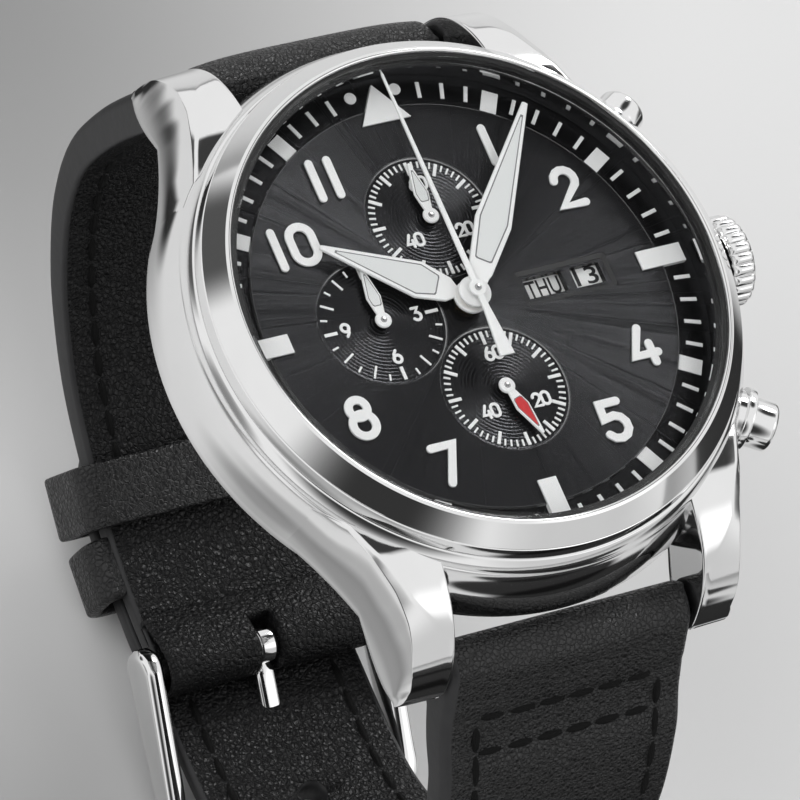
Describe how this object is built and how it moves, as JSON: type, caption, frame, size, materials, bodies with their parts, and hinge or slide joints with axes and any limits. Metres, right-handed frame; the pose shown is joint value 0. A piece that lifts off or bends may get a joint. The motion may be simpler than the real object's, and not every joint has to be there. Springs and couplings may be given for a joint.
{
  "type": "chronograph wristwatch",
  "caption": "Round steel wristwatch with a black dial, small counter dials, crown and pushers, on a closed leather strap with a buckle and keepers.",
  "frame": {"origin": "centre of the case back's flat outer face", "axes": "+Z out of the dial towards the viewer, +Y to twelve o'clock, +X to three o'clock and the crown"},
  "size_m": [0.0457, 0.066, 0.061],
  "materials": {
    "polished_steel": "mirror polished",
    "brushed_steel": "satin",
    "crystal": "clear",
    "gasket": "matt",
    "dial_black": "sunburst lacquer",
    "dial_print": "satin",
    "hand_steel": "polished with pale fill",
    "plate": "satin",
    "gear": "satin",
    "magnet": "matt",
    "copper": "enamelled wire",
    "board": "satin",
    "holder": "matt",
    "calendar": "satin",
    "leather": "pebble grain, semi-matt"
  },
  "bodies": {
    "case": {"mid_case": "polished_steel", "case_back": "polished_steel", "case_back_gasket": "gasket", "bezel": "polished_steel", "crystal": "crystal", "crystal_gasket": "gasket", "rehaut_ring": "polished_steel", "dial": "dial_black", "dial_markers": "dial_print", "small_dial_scales": "dial_print", "movement_holder": "holder", "main_plate": "plate", "train_bridge": "brushed_steel", "circuit_board": "board", "battery": "brushed_steel", "battery_clamp": "brushed_steel", "coils": "copper", "stators": "brushed_steel", "centre_tube": "brushed_steel", "crown_tube": "brushed_steel", "pusher_tubes": "polished_steel", "spring_bars": "brushed_steel", "strap_12": "leather", "strap_6": "leather", "fixed_keeper": "leather", "buckle_bar": "brushed_steel"},
    "seconds": {"seconds_wheel": "gear", "small_seconds_hand": "hand_steel"},
    "intermediate": {"intermediate_wheel": "gear"},
    "step_rotor": {"rotor": "magnet"},
    "third": {"third_wheel": "gear"},
    "minutes": {"cannon_pinion": "gear", "minute_hand": "hand_steel"},
    "motion_wheel": {"minute_wheel": "gear"},
    "hours": {"hour_wheel": "gear", "hour_hand": "hand_steel"},
    "chrono_seconds": {"chrono_wheel": "gear", "chrono_hand": "hand_steel"},
    "chrono_intermediate": {"chrono_intermediate_wheel": "gear"},
    "chrono_step_rotor": {"chrono_rotor": "magnet"},
    "counter_intermediate": {"counter_intermediate_wheel": "gear"},
    "minute_counter": {"minute_counter_wheel": "gear", "minute_counter_hand": "hand_steel"},
    "hour_counter": {"hour_counter_wheel": "gear", "hour_counter_hand": "hand_steel"},
    "hour_counter_step_rotor": {"hour_counter_rotor": "magnet"},
    "date": {"date_ring": "calendar"},
    "day": {"day_disc": "calendar"},
    "crown_carriage": {"crown_gasket": "gasket"},
    "crown_stem": {"crown": "polished_steel", "stem": "brushed_steel"},
    "start_pusher": {"pusher_2": "polished_steel"},
    "reset_pusher": {"pusher_4": "polished_steel"},
    "buckle": {"buckle_frame": "polished_steel"},
    "buckle_tang": {"tang": "polished_steel"},
    "sliding_keeper": {"free_keeper": "leather"}
  },
  "joints": [
    {"name": "small_seconds_turn", "type": "hinge", "parent": "case", "child": "seconds", "pos_m": [0, -0.00685, 0.005], "axis": [0, 0, -1], "continuous": true},
    {"name": "intermediate_turn", "type": "hinge", "parent": "case", "child": "intermediate", "pos_m": [0.00151, -0.00947, 0.005], "axis": [0, 0, -1], "continuous": true},
    {"name": "step_rotor_turn", "type": "hinge", "parent": "case", "child": "step_rotor", "pos_m": [0.00423, -0.0102, 0.005], "axis": [0, 0, -1], "continuous": true},
    {"name": "third_turn", "type": "hinge", "parent": "case", "child": "third", "pos_m": [-0.00081, -0.00353, 0.005], "axis": [0, 0, -1], "continuous": true},
    {"name": "minute_hand_turn", "type": "hinge", "parent": "case", "child": "minutes", "pos_m": [0, 0, 0.005], "axis": [0, 0, -1], "continuous": true},
    {"name": "motion_wheel_turn", "type": "hinge", "parent": "case", "child": "motion_wheel", "pos_m": [-0.00256, 0.00256, 0.005], "axis": [0, 0, -1], "continuous": true},
    {"name": "hour_hand_turn", "type": "hinge", "parent": "case", "child": "hours", "pos_m": [0, 0, 0.005], "axis": [0, 0, -1], "continuous": true},
    {"name": "chrono_seconds_turn", "type": "hinge", "parent": "case", "child": "chrono_seconds", "pos_m": [0, 0, 0.005], "axis": [0, 0, -1], "continuous": true},
    {"name": "chrono_intermediate_turn", "type": "hinge", "parent": "case", "child": "chrono_intermediate", "pos_m": [0.00292, 0.00078, 0.005], "axis": [0, 0, -1], "continuous": true},
    {"name": "chrono_step_rotor_turn", "type": "hinge", "parent": "case", "child": "chrono_step_rotor", "pos_m": [0.00508, 0.00259, 0.005], "axis": [0, 0, -1], "continuous": true},
    {"name": "counter_intermediate_turn", "type": "hinge", "parent": "case", "child": "counter_intermediate", "pos_m": [0.00081, 0.00332, 0.005], "axis": [0, 0, -1], "continuous": true},
    {"name": "minute_counter_turn", "type": "hinge", "parent": "case", "child": "minute_counter", "pos_m": [0, 0.00685, 0.005], "axis": [0, 0, -1], "continuous": true},
    {"name": "hour_counter_turn", "type": "hinge", "parent": "case", "child": "hour_counter", "pos_m": [-0.00685, 0, 0.005], "axis": [0, 0, -1], "continuous": true},
    {"name": "hour_counter_step_rotor_turn", "type": "hinge", "parent": "case", "child": "hour_counter_step_rotor", "pos_m": [-0.00884, -0.00199, 0.005], "axis": [0, 0, -1], "continuous": true},
    {"name": "date_turn", "type": "hinge", "parent": "case", "child": "date", "pos_m": [0, 0, 0.005], "axis": [0, 0, -1], "continuous": true},
    {"name": "day_turn", "type": "hinge", "parent": "case", "child": "day", "pos_m": [0.0064, -0.0042, 0.005], "axis": [0, 0, -1], "continuous": true},
    {"name": "crown_pull", "type": "slide", "parent": "case", "child": "crown_carriage", "axis": [1, 0, 0], "range_m": [0, 0.001]},
    {"name": "crown_turn", "type": "hinge", "parent": "crown_carriage", "child": "crown_stem", "pos_m": [0.022, 0, 0.00424], "axis": [1, 0, 0], "continuous": true},
    {"name": "start_pusher_press", "type": "slide", "parent": "case", "child": "start_pusher", "axis": [-0.8387, -0.5446, 0], "range_m": [0, 0.001], "stiffness_N_per_m": 1500},
    {"name": "reset_pusher_press", "type": "slide", "parent": "case", "child": "reset_pusher", "axis": [-0.8387, 0.5446, 0], "range_m": [0, 0.001], "stiffness_N_per_m": 1500},
    {"name": "buckle_swing", "type": "hinge", "parent": "case", "child": "buckle", "pos_m": [0, -0.0033, -0.0417], "axis": [1, 0, 0], "range_deg": [0, 4]},
    {"name": "tang_swing", "type": "hinge", "parent": "buckle", "child": "buckle_tang", "pos_m": [0, -0.0033, -0.0417], "axis": [1, 0, 0], "range_deg": [0, 3]},
    {"name": "free_keeper_slide", "type": "slide", "parent": "case", "child": "sliding_keeper", "axis": [0, 0.9494, 0.3141], "range_m": [0, 0.0025]}
  ],
  "couplings": [
    {"joint": "intermediate_turn", "follows": "small_seconds_turn", "ratio": -5},
    {"joint": "step_rotor_turn", "follows": "small_seconds_turn", "ratio": 30},
    {"joint": "third_turn", "follows": "small_seconds_turn", "ratio": -0.13333},
    {"joint": "minute_hand_turn", "follows": "small_seconds_turn", "ratio": 0.016667},
    {"joint": "motion_wheel_turn", "follows": "small_seconds_turn", "ratio": -0.0055556},
    {"joint": "hour_hand_turn", "follows": "small_seconds_turn", "ratio": 0.0013889},
    {"joint": "chrono_intermediate_turn", "follows": "chrono_seconds_turn", "ratio": -5},
    {"joint": "chrono_step_rotor_turn", "follows": "chrono_seconds_turn", "ratio": 30},
    {"joint": "counter_intermediate_turn", "follows": "chrono_seconds_turn", "ratio": -0.13333},
    {"joint": "minute_counter_turn", "follows": "chrono_seconds_turn", "ratio": 0.016667},
    {"joint": "hour_counter_turn", "follows": "chrono_seconds_turn", "ratio": 0.0013889},
    {"joint": "hour_counter_step_rotor_turn", "follows": "chrono_seconds_turn", "ratio": -0.0083333}
  ]
}
